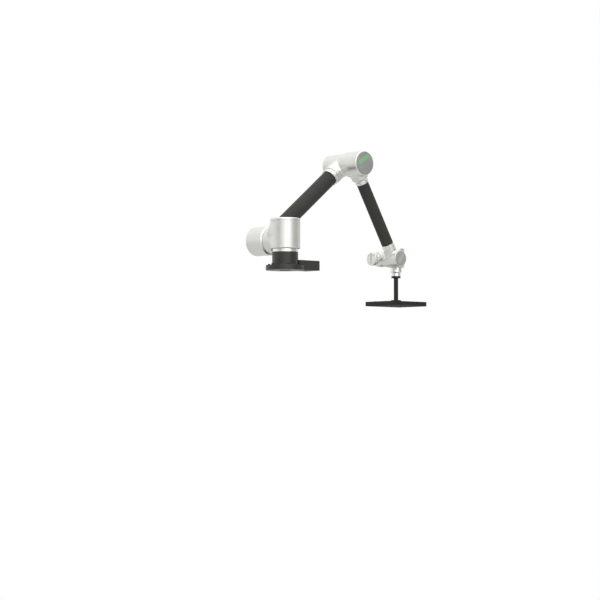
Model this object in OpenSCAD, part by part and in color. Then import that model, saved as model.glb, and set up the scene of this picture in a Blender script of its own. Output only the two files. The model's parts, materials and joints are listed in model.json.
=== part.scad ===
// Six-axis collaborative arm on a round pedestal, holding a flat vacuum gripper.
// Z is up and the origin is the centre of the mounting face, on the axis of the first joint.
// The arm reaches along +X. The upper arm is held on the +Y side of the first joint.

/* [Base] */
// Diameter of the round mounting plate
plate_d = 250; // [240:1:270]
// Thickness of the mounting plate
plate_t = 14; // [12:1:16]
// Top of the base casting's foot
foot_top = 32; // [28:1:36]
// Diameter of the pedestal
pedestal_d = 168; // [160:1:172]
// Top of the pedestal
pedestal_top = 117; // [112:1:120]
// Circle of the mounting holes and of the foot screws
mount_pcd = 216; // [212:1:218]
// Diameter of a mounting hole
mount_hole_d = 11; // [9:0.5:13]
// Reach of the connector box from the axis
box_reach = 245; // [235:1:260]
// Width of the connector box
box_w = 130; // [110:1:150]
// Height of the connector box
box_h = 67; // [55:1:72]

/* [Shoulder] */
// Diameter of the first joint's housing
j1_d = 196; // [190:1:204]
// Lower face of the first joint's housing
j1_face = 138; // [134:1:142]
// Top of the first joint's cover
j1_top = 336; // [325:1:345]
// Height of the second joint's axis
shoulder_height = 197; // [193:1:203]
// Diameter of the neck between the first and the second joint
neck_d = 172; // [160:1:180]
// Distance from the first axis to the second joint's inner face
j2_face = 127; // [124:1:132]
// Diameter of the second joint's drum
j2_d = 190; // [184:1:196]
// Distance from the first axis to the outer end of the drum
j2_end = 286; // [276:1:292]

/* [Upper arm] */
// Distance between the second and the third joint axes
upper_length = 872; // [860:1:885]
// Rise of the upper arm above the horizontal
upper_angle = 38.2; // [34:0.1:42]
// Offset of the upper arm's plane from the first axis
upper_plane = 178; // [174:1:184]
// Diameter of the upper arm tube
upper_tube_d = 104; // [98:1:108]
// Diameter of the elbow casting's barrel
elbow_d = 146; // [140:1:152]
// Distance from the first axis to the elbow casting's outer end
elbow_end = 296; // [286:1:302]

/* [Forearm] */
// Distance between the third and the fourth joint axes
fore_length = 718; // [705:1:735]
// Fall of the forearm below the horizontal
fore_angle = 59; // [56:0.1:62]
// Offset of the forearm's plane from the first axis
fore_plane = 59; // [56:1:62]
// Diameter of the forearm tube
fore_tube_d = 80; // [76:1:84]
// Diameter of the third joint's housing
j3_d = 164; // [158:1:170]
// Offset of the third joint's inner face
j3_face = 112; // [108:1:116]
// Length of the third joint's housing with its cap
j3_length = 157; // [146:1:162]
// Diameter of the fourth joint's housing
j4_d = 107; // [102:1:112]
// Offset of the fourth joint's inner face
j4_face = 105; // [102:1:108]
// Length of the fourth joint's housing with its cap
j4_length = 119; // [114:1:124]

/* [Wrist and tool] */
// Offset of the wrist's plane from the first axis
wrist_plane = 176; // [172:1:180]
// Distance between the fourth and the sixth joint axes
wrist_reach = 143; // [140:1:150]
// Diameter of the fifth joint's housing
j5_d = 98; // [94:1:102]
// Distance from the fourth axis to the fifth joint's inner face
j5_face = 78; // [76:1:80]
// Length of the fifth joint's drive space
j5_length = 114; // [110:1:120]
// Distance from the fourth axis to the fifth joint's rear cap face
j5_rear = 98; // [94:1:102]
// Diameter of the fifth joint's rear cap
j5_cap_d = 90; // [84:1:94]
// Diameter of the sixth joint's housing
j6_d = 116; // [110:1:118]
// Height of the sixth joint's lower face
j6_face = 72; // [70:1:74]
// Height of the sixth joint's top
j6_top = 202; // [196:1:206]
// Diameter of the turning flange's barrel
flange_d = 80; // [76:1:84]
// Height of the tool flange face
flange_face = 12; // [10:1:16]
// Diameter of the gripper pole
pole_d = 30; // [26:1:34]
// Length of the gripper plate along the reach
gripper_l = 326; // [300:1:340]
// Width of the gripper plate
gripper_w = 262; // [240:1:280]
// Top face of the gripper plate
gripper_top = -163; // [-170:1:-158]
// Thickness of the gripper plate
gripper_t = 21; // [18:1:24]
// Thickness of the foam pad
foam_t = 9; // [6:1:12]

/* [Fits] */
// Radial clearance of a running fit
fit = 0.05; // [0.02:0.01:0.09]
// Gap between the turning faces of a joint
face_gap = 1; // [0.6:0.1:1.5]

/* [Hidden] */
$fn = 96;

// Where the joints are
elbow_x = upper_length * cos(upper_angle);
elbow_z = shoulder_height + upper_length * sin(upper_angle);
wrist_x = elbow_x + fore_length * cos(fore_angle);
wrist_z = elbow_z - fore_length * sin(fore_angle);
tool_x = wrist_x + wrist_reach;

// Radii and lengths of the drives: [housing radius, length from output face to cap end]
j1 = [j1_d / 2, j1_top - j1_face];
j2 = [j2_d / 2, j2_end - j2_face];
j3 = [j3_d / 2, j3_length];
j4 = [j4_d / 2, j4_length];
j5 = [j5_d / 2, j5_length];
j6 = [j6_d / 2, j6_top - j6_face];

// Proportions shared by the six drives
function bore_r(j) = 0.9 * j[0];      // inside of the housing
function hub_r(j) = 0.56 * j[0];      // output hub
function shaft_r(j) = 0.22 * j[0];    // rotor shaft
function rotor_r(j) = 0.42 * j[0];    // rotor core
function cable_r(j) = 0.12 * j[0];    // cable way through the rotor
function hollow_r(j) = 0.34 * j[0];   // hollow of the output hub
function lip(j) = 0.08 * j[1];        // end wall of the housing at the output
// Places along the drive, measured back from the output face as shares of the drive's length
hub_reach = 0.27;
gear_back = 0.35;
stator_front = 0.44;
stator_back = 0.64;
core_front = 0.49;
core_back = 0.59;
shaft_back = 0.74;

// Clamp lengths along the tubes, measured from the joint axis at each end
upper_lower_clamp = [128, 152];
upper_upper_clamp = [122, 152];
fore_upper_clamp = [120, 144];
fore_lower_clamp = [82, 114];
tube_wall = 5;
spigot_l = 45;

cap_depth = [18, 24, 8, 6, 22, 12];    // depth of each joint's cap, joint 1 first
seam = 0.1;                            // clearance of a curved seam between two fixed pieces

// Screws of each joint's cap, joint 1 first: [count, circle, size]
cap_ring = [[6, 150, 6], [6, 128, 6], [6, 142, 4], [4, 88, 3], [4, 64, 4], [4, 84, 4]];
elbow_ring = [4, 88, 5];               // screws of the elbow's end cover

// ---- Placing ----
module at_joint_1() { translate([0, 0, j1_face]) rotate([180, 0, 0]) children(); }
module at_joint_2() { translate([0, j2_face, shoulder_height]) rotate([90, 0, 0]) children(); }
module at_joint_3() { translate([elbow_x, j3_face, elbow_z]) rotate([-90, 0, 0]) children(); }
module at_joint_4() { translate([wrist_x, j4_face, wrist_z]) rotate([-90, 0, 0]) children(); }
module at_joint_5() { translate([wrist_x + j5_face, wrist_plane, wrist_z]) rotate([0, 90, 0]) children(); }
module at_joint_6() { translate([tool_x, wrist_plane, j6_face]) rotate([180, 0, 0]) children(); }
module in_upper_arm() {
    translate([0, upper_plane, shoulder_height]) rotate([0, -upper_angle, 0]) children();
}
module in_forearm() { translate([elbow_x, fore_plane, elbow_z]) rotate([0, fore_angle, 0]) children(); }
module at_tool() { translate([tool_x, wrist_plane, 0]) children(); }

// A cylinder along X from x0 to x1, and one along Z from z0 to z1
module x_rod(r, x0, x1) { translate([x0, 0, 0]) rotate([0, 90, 0]) cylinder(r = r, h = x1 - x0); }
module z_rod(r, z0, z1) { translate([0, 0, z0]) cylinder(r = r, h = z1 - z0); }

// A turned solid on the Z axis from z = 0 down to z = -h, with its lower edge rounded
module turned_end(r, h, edge, steps = 6) {
    rotate_extrude() polygon(concat([[0, 0], [r, 0]],
        [for (i = [0:steps]) [r - edge + edge * cos(90 * i / steps), -h + edge - edge * sin(90 * i / steps)]],
        [[0, -h]]));
}

// Socket-head screws: heads on a circle, pointing along -Z with their heads' undersides at z = 0
module ring_of(count, pcd, start = 0) {
    for (i = [0:count - 1]) rotate([0, 0, start + 360 * i / count]) translate([pcd / 2, 0, 0]) children();
}
head_share = 0.85;    // radius of a screw head as a share of its size
module screw(size, length) {
    difference() {
        union() {
            z_rod(head_share * size, 0, size);
            z_rod(size / 2, -length, 0.1);
        }
        translate([0, 0, 0.45 * size]) cylinder(r = 0.48 * size, h = size, $fn = 6);
    }
}

// ---- Drives: local +Z runs from the cap to the output, z = 0 is the output face ----
module drive_space(j) { z_rod(bore_r(j), -j[1] - 1, -lip(j)); }
module output_opening(j) { z_rod(hub_r(j) + face_gap, -j[1] / 2, 1); }
module output_hub(j) { z_rod(hub_r(j), -hub_reach * j[1], face_gap + 0.5); }
module cable_way(j, reach) {
    z_rod(cable_r(j), -j[1], reach);
    z_rod(hollow_r(j), -hub_reach * j[1] + 6, reach);
}

module drive_gear(j) {
    difference() {
        z_rod(bore_r(j), -gear_back * j[1], -lip(j));
        z_rod(hub_r(j) + fit, -(hub_reach + 0.015) * j[1], 0);
        z_rod(shaft_r(j) + fit, -j[1], 0);
    }
}
module drive_stator(j) {
    difference() {
        z_rod(bore_r(j), -stator_back * j[1], -stator_front * j[1]);
        z_rod(rotor_r(j) + 0.6, -j[1], 0);
        ring_of(12, 1.42 * bore_r(j), 15) z_rod(0.09 * j[0], -j[1], 0);
    }
}
module drive_rotor(j) {
    difference() {
        union() {
            z_rod(shaft_r(j), -shaft_back * j[1], -(hub_reach + 0.03) * j[1]);
            z_rod(rotor_r(j), -core_back * j[1], -core_front * j[1]);
        }
        z_rod(cable_r(j), -j[1], 0);
    }
}
// A round cap on the drive's far end, with a spigot inside the housing
module drive_cap(j, depth, edge, r) {
    translate([0, 0, -(j[1] - depth)]) difference() {
        union() {
            turned_end(r, depth, edge);
            z_rod(bore_r(j) - seam, 0, 6);
        }
        z_rod(bore_r(j) - 8, -depth / 2, 7);
    }
}
head_sink = 0.6;      // depth of a screw's counterbore as a share of its size
module cap_screws(j, depth, ring) {
    translate([0, 0, -j[1]]) rotate([180, 0, 0]) translate([0, 0, -head_sink * ring[2]])
        ring_of(ring[0], ring[1], 180 / ring[0]) screw(ring[2], depth / 2);
}
module cap_screw_holes(j, depth, ring) {
    translate([0, 0, -j[1]]) rotate([180, 0, 0]) ring_of(ring[0], ring[1], 180 / ring[0]) {
        z_rod(head_share * ring[2] + seam, -head_sink * ring[2], 1);
        z_rod(ring[2] / 2 + seam, -head_sink * ring[2] - depth / 2, 1);
    }
}

// ---- Base ----
mount_holes = 6;
foot_thread_r = 5.1;  // hole for a foot screw
plate_bore_r = 40;    // cable opening through the mounting plate
pedestal_wall = 9;
pedestal_roof = 12;
module foot_holes() { ring_of(mount_holes, mount_pcd, 30) z_rod(mount_hole_d / 2, -1, foot_top + 1); }
module mounting_plate() {
    color("#26262a") difference() {
        z_rod(plate_d / 2, 0, plate_t);
        z_rod(plate_bore_r, -1, plate_t + 1);
        foot_holes();
        ring_of(mount_holes, mount_pcd) z_rod(foot_thread_r, -1, plate_t + 1);
    }
}
module base_casting() {
    color("#3a3a38") difference() {
        union() {
            z_rod(plate_d / 2, plate_t, foot_top);
            translate([0, 0, pedestal_top]) turned_end(pedestal_d / 2, pedestal_top - foot_top, 0.1);
        }
        z_rod(pedestal_d / 2 - pedestal_wall, plate_t - 1, pedestal_top - pedestal_roof);
        z_rod(hub_r(j1) - 8, 0, pedestal_top + 1);
        foot_holes();
        ring_of(mount_holes, mount_pcd) z_rod(foot_thread_r, 0, foot_top + 1);
    }
}
module base_screws() {
    color("#b8bac0") translate([0, 0, foot_top]) ring_of(mount_holes, mount_pcd) screw(10, foot_top - 4);
}
module base_ring() {
    color("#c9c9c5") difference() {
        union() {
            z_rod(pedestal_d / 2 - 1, pedestal_top, j1_face - face_gap);
            at_joint_1() output_hub(j1);
        }
        at_joint_1() cable_way(j1, 60);
    }
}
box_wall = 6;
box_cover_t = 4;
box_floor = 4;        // height of the box's underside
screw_room_r = 11;    // room kept free around a foot screw
socket_r = 19;
module box_outline(inset, z0, z1) {
    translate([plate_d / 4 + inset, -box_w / 2 + inset, z0])
        cube([box_reach - plate_d / 4 - 2 * inset, box_w - 2 * inset, z1 - z0]);
}
module connector_box() {
    color("#333331") difference() {
        box_outline(0, box_floor, box_h - box_cover_t);
        box_outline(box_wall, box_floor + box_wall, box_h);
        z_rod(plate_d / 2 + seam, 0, foot_top + seam);
        z_rod(pedestal_d / 2 + seam, 0, box_h);
        ring_of(mount_holes, mount_pcd) z_rod(screw_room_r, 0, foot_top + 14);
        ring_of(mount_holes, mount_pcd, 30) z_rod(screw_room_r, 0, foot_top + 20);
        translate([box_reach - box_wall - 1, 0, box_h / 2]) x_rod(socket_r, 0, box_wall + 4);
    }
}
module connector_box_cover() {
    color("#2b2b29") difference() {
        box_outline(0, box_h - box_cover_t, box_h);
        z_rod(pedestal_d / 2 + seam, 0, box_h + 1);
    }
}
module power_socket() {
    color("#1c1c1c") translate([box_reach, 0, box_h / 2]) difference() {
        union() {
            x_rod(socket_r - seam, -box_wall, 0);
            x_rod(socket_r + 4, 0, 3);
            x_rod(socket_r - 3, 3, 16);
        }
        x_rod(12, 6, 17);
    }
}

// ---- Shoulder ----
pedestal_gap = 4;     // space between the neck's underside and the pedestal
flare_back = 92;      // start of the neck's flare, measured back from the second joint
flare_l = 44;
flare_r = 130;        // radius the flare would reach inside the housing
flare_drop = 16;      // height of the flare's top below the housing's top
neck_wall = 14;
module shoulder_housing() {
    color("#c4c4bf") difference() {
        union() {
            translate([0, 0, j1_top - cap_depth[0]])
                turned_end(j1[0], j1_top - cap_depth[0] - j1_face, 7, 4);
            at_joint_2() z_rod(neck_d / 2, face_gap, j2_face);
            intersection() {
                at_joint_2() translate([0, 0, j2_face - flare_back])
                    cylinder(r1 = neck_d / 2, r2 = flare_r, h = flare_l);
                translate([-j1[0], 0, shoulder_height])
                    cube([2 * j1[0], j2_face, j1_top - flare_drop - shoulder_height]);
            }
            at_joint_2() output_hub(j2);
        }
        at_joint_1() drive_space(j1);
        at_joint_1() output_opening(j1);
        z_rod(pedestal_d / 2 + pedestal_gap, 0, j1_face);
        intersection() {
            at_joint_2() z_rod(neck_d / 2 - neck_wall, face_gap + 12, j2_face);
            z_rod(2 * j1[0], j1_face + lip(j1), j1_top);
        }
        at_joint_2() cable_way(j2, 60);
    }
}
module shoulder_cover() {
    color("#cfcfca") at_joint_1() difference() {
        drive_cap(j1, cap_depth[0], 10, j1[0]);
        cap_screw_holes(j1, cap_depth[0], cap_ring[0]);
    }
}
module shoulder_screws() { color("#8e8e8c") at_joint_1() cap_screws(j1, cap_depth[0], cap_ring[0]); }

// ---- Upper arm ----
module shoulder_drum() {
    boss_r = upper_tube_d / 2 + 6;
    color("#c4c4bf") difference() {
        union() {
            at_joint_2() z_rod(j2[0], -(j2[1] - cap_depth[1]), 0);
            in_upper_arm() x_rod(boss_r, 0, upper_lower_clamp[0]);
            in_upper_arm() x_rod(upper_tube_d / 2 - tube_wall, 0, upper_lower_clamp[1] + spigot_l);
        }
        at_joint_2() drive_space(j2);
        at_joint_2() output_opening(j2);
        at_joint_2() z_rod(upper_lower_clamp[0] + 1, 0, boss_r);
        in_upper_arm() x_rod(16, 0, upper_lower_clamp[1] + spigot_l + 1);
    }
}
module shoulder_drum_cap() {
    color("#cfcfca") at_joint_2() difference() {
        drive_cap(j2, cap_depth[1], 20, j2[0]);
        cap_screw_holes(j2, cap_depth[1], cap_ring[1]);
    }
}
module clamp_collar(r, x0, x1, bore) {
    difference() {
        union() {
            x_rod(r, x0, x1);
            x_rod(r + 2.5, x0 + 0.25 * (x1 - x0), x0 + 0.6 * (x1 - x0));
        }
        x_rod(bore, x0 - 1, x1 + 1);
    }
}
upper_spigot_r = upper_tube_d / 2 - tube_wall;
fore_spigot_r = fore_tube_d / 2 - tube_wall;
module upper_arm_lower_collar() {
    color("#d2d2cd") in_upper_arm()
        clamp_collar(upper_tube_d / 2 + 3, upper_lower_clamp[0], upper_lower_clamp[1], upper_spigot_r);
}
module upper_arm_tube() {
    color("#3c3d38") in_upper_arm() difference() {
        x_rod(upper_tube_d / 2, upper_lower_clamp[1], upper_length - upper_upper_clamp[1]);
        x_rod(upper_spigot_r, 0, upper_length);
    }
}
module upper_arm_upper_collar() {
    color("#d2d2cd") in_upper_arm() translate([upper_length, 0, 0])
        clamp_collar(upper_tube_d / 2 + 7, -upper_upper_clamp[1], -upper_upper_clamp[0], upper_spigot_r);
}
elbow_boss_r = upper_tube_d / 2 + 12;
elbow_cover_depth = 26;
elbow_cover_edge = 10;    // rounding of the cover's rim
elbow_wall = 9;
elbow_sink = 3;           // depth of the end cover's counterbores
module elbow_casting() {
    flare = 16;
    barrel_end = elbow_end - elbow_cover_depth - j3_face;
    color("#c4c4bf") difference() {
        union() {
            at_joint_3() z_rod(elbow_d / 2, face_gap, barrel_end);
            at_joint_3() translate([0, 0, face_gap])
                cylinder(r1 = j3[0] - 2, r2 = elbow_d / 2, h = flare);
            in_upper_arm() x_rod(elbow_boss_r, upper_length - upper_upper_clamp[0], upper_length);
            in_upper_arm() x_rod(upper_spigot_r, upper_length - upper_upper_clamp[1] - spigot_l, upper_length);
            at_joint_3() output_hub(j3);
        }
        at_joint_3() z_rod(elbow_d / 2 - elbow_wall, face_gap + 14, barrel_end + 1);
        at_joint_3() cable_way(j3, 60);
        in_upper_arm() x_rod(16, upper_length - upper_upper_clamp[1] - spigot_l - 1, upper_length);
    }
}
module at_elbow_end() { translate([elbow_x, elbow_end, elbow_z]) rotate([90, 0, 0]) children(); }
module elbow_end_cover() {
    color("#cfcfca") at_elbow_end() difference() {
        translate([0, 0, elbow_cover_depth]) turned_end(elbow_d / 2, elbow_cover_depth, elbow_cover_edge);
        z_rod(elbow_d / 2 - 14, 10, elbow_cover_depth + 1);
        rotate([180, 0, 0]) ring_of(elbow_ring[0], elbow_ring[1], 45) {
            z_rod(head_share * elbow_ring[2] + seam, -elbow_sink, 1);
            z_rod(elbow_ring[2] / 2 + seam, -12, 1);
        }
    }
}
module upper_arm_screws() {
    color("#8e8e8c") {
        at_joint_2() cap_screws(j2, cap_depth[1], cap_ring[1]);
        at_elbow_end() rotate([180, 0, 0]) translate([0, 0, -elbow_sink])
            ring_of(elbow_ring[0], elbow_ring[1], 45) screw(elbow_ring[2], 7);
    }
}

// ---- Forearm ----
module elbow_housing() {
    boss_r = fore_tube_d / 2 + 17;
    boss_l = 104;         // straight length of the boss, before its taper
    color("#c4c4bf") difference() {
        union() {
            at_joint_3() z_rod(j3[0], -(j3[1] - cap_depth[2]), 0);
            in_forearm() x_rod(boss_r, 0, boss_l);
            in_forearm() translate([boss_l, 0, 0]) rotate([0, 90, 0])
                cylinder(r1 = boss_r, r2 = fore_tube_d / 2 + 4, h = fore_upper_clamp[0] - boss_l);
            in_forearm() x_rod(fore_spigot_r, 0, fore_upper_clamp[1] + spigot_l);
        }
        at_joint_3() drive_space(j3);
        at_joint_3() output_opening(j3);
        at_joint_3() z_rod(fore_upper_clamp[0] + 1, 0, boss_r);
        in_forearm() x_rod(12, 0, fore_upper_clamp[1] + spigot_l + 1);
    }
}
cap_rim = 5;          // silver rim of the housing left around a dark cap
stripe_depth = 1.2;   // thickness of the stripe
recess = stripe_depth + 3 * seam;      // cut for it, which starts a seam outside the cap's face
// A band across a round cap, cut off by a circle, on the outer face of the cap
module cap_band(j, r, low, high, angle, depth = stripe_depth) {
    translate([0, 0, -j[1]]) linear_extrude(height = depth) intersection() {
        circle(r = r);
        rotate([0, 0, angle]) translate([-r, low]) square([2 * r, high - low]);
    }
}
j3_band = [62, -44, -14, -30];  // radius, low edge, high edge and turn of the elbow cap's stripe
j4_band = [38, -14, 12, -53];
j5_band = [36, -8, 8, 0];
module elbow_cap() {
    color("#6d6c6b") at_joint_3() difference() {
        drive_cap(j3, cap_depth[2], 6, j3[0] - cap_rim);
        cap_screw_holes(j3, cap_depth[2], cap_ring[2]);
        translate([0, 0, -seam]) cap_band(j3, j3_band[0], j3_band[1], j3_band[2], j3_band[3], recess);
    }
}
module elbow_cap_stripe() {
    color("#5fae6d") at_joint_3() translate([0, 0, 0.01])
        cap_band(j3, j3_band[0] - seam, j3_band[1] + seam, j3_band[2] - seam, j3_band[3]);
}
module forearm_upper_collar() {
    color("#d2d2cd") in_forearm()
        clamp_collar(fore_tube_d / 2 + 2, fore_upper_clamp[0], fore_upper_clamp[1], fore_spigot_r);
}
module forearm_tube() {
    color("#3c3d38") in_forearm() difference() {
        x_rod(fore_tube_d / 2, fore_upper_clamp[1], fore_length - fore_lower_clamp[1]);
        x_rod(fore_spigot_r, 0, fore_length);
    }
}
module forearm_lower_collar() {
    color("#d2d2cd") in_forearm() translate([fore_length, 0, 0]) difference() {
        clamp_collar(fore_tube_d / 2 + 2, -fore_lower_clamp[1], -fore_lower_clamp[0], fore_spigot_r);
        translate([-fore_lower_clamp[1] - 1, -2, 30]) cube([40, 4, 30]);
    }
}
module wrist_housing() {
    color("#c4c4bf") difference() {
        union() {
            at_joint_4() z_rod(j4[0], -(j4[1] - cap_depth[3]), 0);
            in_forearm() x_rod(fore_tube_d / 2 + 3, fore_length - fore_lower_clamp[0], fore_length);
            in_forearm() x_rod(fore_spigot_r, fore_length - fore_lower_clamp[1] - spigot_l, fore_length);
        }
        at_joint_4() drive_space(j4);
        at_joint_4() output_opening(j4);
        in_forearm() x_rod(10, fore_length - fore_lower_clamp[1] - spigot_l - 1, fore_length);
    }
}
module wrist_cap() {
    color("#6d6c6b") at_joint_4() difference() {
        drive_cap(j4, cap_depth[3], 4, j4[0] - 4);
        cap_screw_holes(j4, cap_depth[3], cap_ring[3]);
        translate([0, 0, -seam]) cap_band(j4, j4_band[0], j4_band[1], j4_band[2], j4_band[3], recess);
    }
}
module wrist_cap_stripe() {
    color("#5fae6d") at_joint_4() translate([0, 0, 0.01])
        cap_band(j4, j4_band[0] - seam, j4_band[1] + seam, j4_band[2] - seam, j4_band[3]);
}
module forearm_screws() {
    color("#8e8e8c") {
        at_joint_3() cap_screws(j3, cap_depth[2], cap_ring[2]);
        at_joint_4() cap_screws(j4, cap_depth[3], cap_ring[3]);
    }
}

// ---- First wrist link: the fifth joint's housing ----
j5_barrel = j5_length - j5_face;          // barrel behind the fourth axis
j5_neck_r = 30;
j5_neck_end = j5_rear - cap_depth[4];
j5_sink = 2.4;        // depth of the rear cap's counterbores
module at_wrist_1() { translate([wrist_x, wrist_plane, wrist_z]) children(); }
module wrist_1_housing() {
    color("#c4c4bf") difference() {
        union() {
            at_joint_4() z_rod(j4[0] - 3, face_gap, wrist_plane - j4_face);
            at_wrist_1() x_rod(j5[0], -j5_barrel, j5_face);
            at_wrist_1() x_rod(j5_neck_r, -j5_neck_end, 0);
            at_joint_4() output_hub(j4);
        }
        at_wrist_1() x_rod(bore_r(j5), -j5_barrel + 6, j5_face - lip(j5));
        at_wrist_1() x_rod(j5_neck_r - 6, -j5_neck_end - 1, 0);
        at_joint_5() output_opening(j5);
        at_joint_4() cable_way(j4, 40);
    }
}
module at_wrist_1_cap() { translate([wrist_x - j5_rear, wrist_plane, wrist_z]) rotate([0, 90, 0]) children(); }
module wrist_1_cap() {
    color("#c9c9c5") at_wrist_1_cap() difference() {
        union() {
            translate([0, 0, cap_depth[4]]) turned_end(j5_cap_d / 2, cap_depth[4], 6);
            z_rod(j5_neck_r - 6 - seam, 4, cap_depth[4] + 6);
        }
        z_rod(j5_neck_r - 12, 6, cap_depth[4] + 7);
        translate([0, 0, -seam]) cap_band([0, 0], j5_band[0], j5_band[1], j5_band[2], j5_band[3], recess);
        rotate([180, 0, 0]) ring_of(cap_ring[4][0], cap_ring[4][1], 45) {
            z_rod(head_share * cap_ring[4][2] + seam, -j5_sink, 1);
            z_rod(cap_ring[4][2] / 2 + seam, -12, 1);
        }
    }
}
module wrist_1_cap_stripe() {
    color("#5fae6d") at_wrist_1_cap() translate([0, 0, 0.01])
        cap_band([0, 0], j5_band[0] - seam, j5_band[1] + seam, j5_band[2] - seam, j5_band[3]);
}
module wrist_1_screws() {
    color("#8e8e8c") at_wrist_1_cap() rotate([180, 0, 0]) translate([0, 0, -j5_sink])
        ring_of(cap_ring[4][0], cap_ring[4][1], 45) screw(cap_ring[4][2], 8);
}

// ---- Second wrist link: the sixth joint's housing ----
module wrist_2_housing() {
    color("#c4c4bf") difference() {
        union() {
            at_joint_6() z_rod(j6[0], -(j6[1] - cap_depth[5]), 0);
            at_joint_5() z_rod(j5[0] - 2, face_gap, wrist_reach - j5_face);
            at_joint_5() output_hub(j5);
        }
        at_joint_6() drive_space(j6);
        at_joint_6() output_opening(j6);
        at_joint_5() cable_way(j5, 40);
    }
}
module wrist_2_cap() {
    color("#cfcfca") at_joint_6() difference() {
        drive_cap(j6, cap_depth[5], 7, j6[0]);
        cap_screw_holes(j6, cap_depth[5], cap_ring[5]);
    }
}
module wrist_2_screws() { color("#8e8e8c") at_joint_6() cap_screws(j6, cap_depth[5], cap_ring[5]); }

// ---- Tool ----
flange_step = 38;     // height where the flange's barrel steps in
adapter_r = 31.5;
adapter_t = 13;
tool_pcd = 50;        // circle of the four tool screws, at the flange and at the pole's foot
tool_hole_r = 3 + seam;
tool_head_r = 5.2;    // counterbore of a tool screw
tool_sink = 6;
foot_t = 12;          // thickness of the pole's foot
module tool_flange() {
    color("#c9c9c5") difference() {
        union() {
            at_tool() z_rod(flange_d / 2, flange_step, j6_face - face_gap);
            at_tool() z_rod(adapter_r, flange_face, flange_step);
            at_joint_6() output_hub(j6);
        }
        at_joint_6() cable_way(j6, 80);
        at_tool() ring_of(4, tool_pcd, 45) z_rod(tool_hole_r, flange_face - 1, flange_face + 12);
    }
}
module tool_adapter() {
    color("#1f1f20") at_tool() difference() {
        z_rod(adapter_r, flange_face - adapter_t, flange_face);
        ring_of(4, tool_pcd, 45) z_rod(tool_hole_r, flange_face - adapter_t - 1, flange_face + 1);
        ring_of(4, tool_pcd, 45)
            z_rod(tool_head_r, flange_face - adapter_t - 1, flange_face - adapter_t + tool_sink);
    }
}
module gripper_pole() {
    color("#1f1f20") at_tool() difference() {
        z_rod(pole_d / 2, gripper_top + foot_t, flange_face - adapter_t);
        z_rod(pole_d / 2 - 4, gripper_top + foot_t - 1, flange_face - adapter_t + 1);
    }
}
foot_r = 34;
air_r = 8;            // air way from the pole into the plate
module pole_foot() {
    color("#26262a") at_tool() difference() {
        z_rod(foot_r, gripper_top, gripper_top + foot_t);
        z_rod(air_r, gripper_top - 1, gripper_top + foot_t + 1);
        ring_of(4, tool_pcd, 45) z_rod(tool_hole_r, gripper_top - 1, gripper_top + foot_t + 1);
        ring_of(4, tool_pcd, 45) z_rod(tool_head_r, gripper_top + foot_t - tool_sink, gripper_top + foot_t + 1);
    }
}
module tool_screws() {
    color("#8e8e8c") at_tool() {
        translate([0, 0, flange_face - adapter_t + tool_sink]) mirror([0, 0, 1])
            ring_of(4, tool_pcd, 45) screw(6, 17);
        translate([0, 0, gripper_top + foot_t - tool_sink]) ring_of(4, tool_pcd, 45) screw(6, 14);
    }
}
port_r = 6.25;        // bore of the push-in port for a 12 mm vacuum hose
port_at = [-100, 95]; // the port's place from the tool axis, clear of the wrist above it
module gripper_plate() {
    wall = 6;
    color("#232325") at_tool() difference() {
        translate([-gripper_l / 2, -gripper_w / 2, gripper_top - gripper_t])
            cube([gripper_l, gripper_w, gripper_t]);
        translate([-gripper_l / 2 + wall, -gripper_w / 2 + wall, gripper_top - gripper_t - 1])
            cube([gripper_l - 2 * wall, gripper_w - 2 * wall, gripper_t - wall + 1]);
        z_rod(air_r, gripper_top - gripper_t, gripper_top + 1);
        ring_of(4, tool_pcd, 45) z_rod(tool_hole_r, gripper_top - gripper_t, gripper_top + 1);
        translate(port_at) z_rod(port_r, gripper_top - gripper_t, gripper_top + 1);
    }
}
module foam_pad() {
    pitch = 46;
    color("#1b1b1b") at_tool() difference() {
        translate([-gripper_l / 2, -gripper_w / 2, gripper_top - gripper_t - foam_t])
            cube([gripper_l, gripper_w, foam_t]);
        for (i = [-3:3], k = [-2:2]) translate([i * pitch, k * pitch, 0])
            z_rod(7, gripper_top - gripper_t - foam_t - 1, gripper_top - gripper_t + 1);
    }
}

// ---- Drives in their places ----
gear_colour = "#8f9296";
coil_colour = "#a8643a";
rotor_colour = "#5b5e66";
module joint_1_gear() { color(gear_colour) at_joint_1() drive_gear(j1); }
module joint_1_stator() { color(coil_colour) at_joint_1() drive_stator(j1); }
module joint_1_rotor() { color(rotor_colour) at_joint_1() drive_rotor(j1); }
module joint_2_gear() { color(gear_colour) at_joint_2() drive_gear(j2); }
module joint_2_stator() { color(coil_colour) at_joint_2() drive_stator(j2); }
module joint_2_rotor() { color(rotor_colour) at_joint_2() drive_rotor(j2); }
module joint_3_gear() { color(gear_colour) at_joint_3() drive_gear(j3); }
module joint_3_stator() { color(coil_colour) at_joint_3() drive_stator(j3); }
module joint_3_rotor() { color(rotor_colour) at_joint_3() drive_rotor(j3); }
module joint_4_gear() { color(gear_colour) at_joint_4() drive_gear(j4); }
module joint_4_stator() { color(coil_colour) at_joint_4() drive_stator(j4); }
module joint_4_rotor() { color(rotor_colour) at_joint_4() drive_rotor(j4); }
module joint_5_gear() { color(gear_colour) at_joint_5() drive_gear(j5); }
module joint_5_stator() { color(coil_colour) at_joint_5() drive_stator(j5); }
module joint_5_rotor() { color(rotor_colour) at_joint_5() drive_rotor(j5); }
module joint_6_gear() { color(gear_colour) at_joint_6() drive_gear(j6); }
module joint_6_stator() { color(coil_colour) at_joint_6() drive_stator(j6); }
module joint_6_rotor() { color(rotor_colour) at_joint_6() drive_rotor(j6); }

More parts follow.
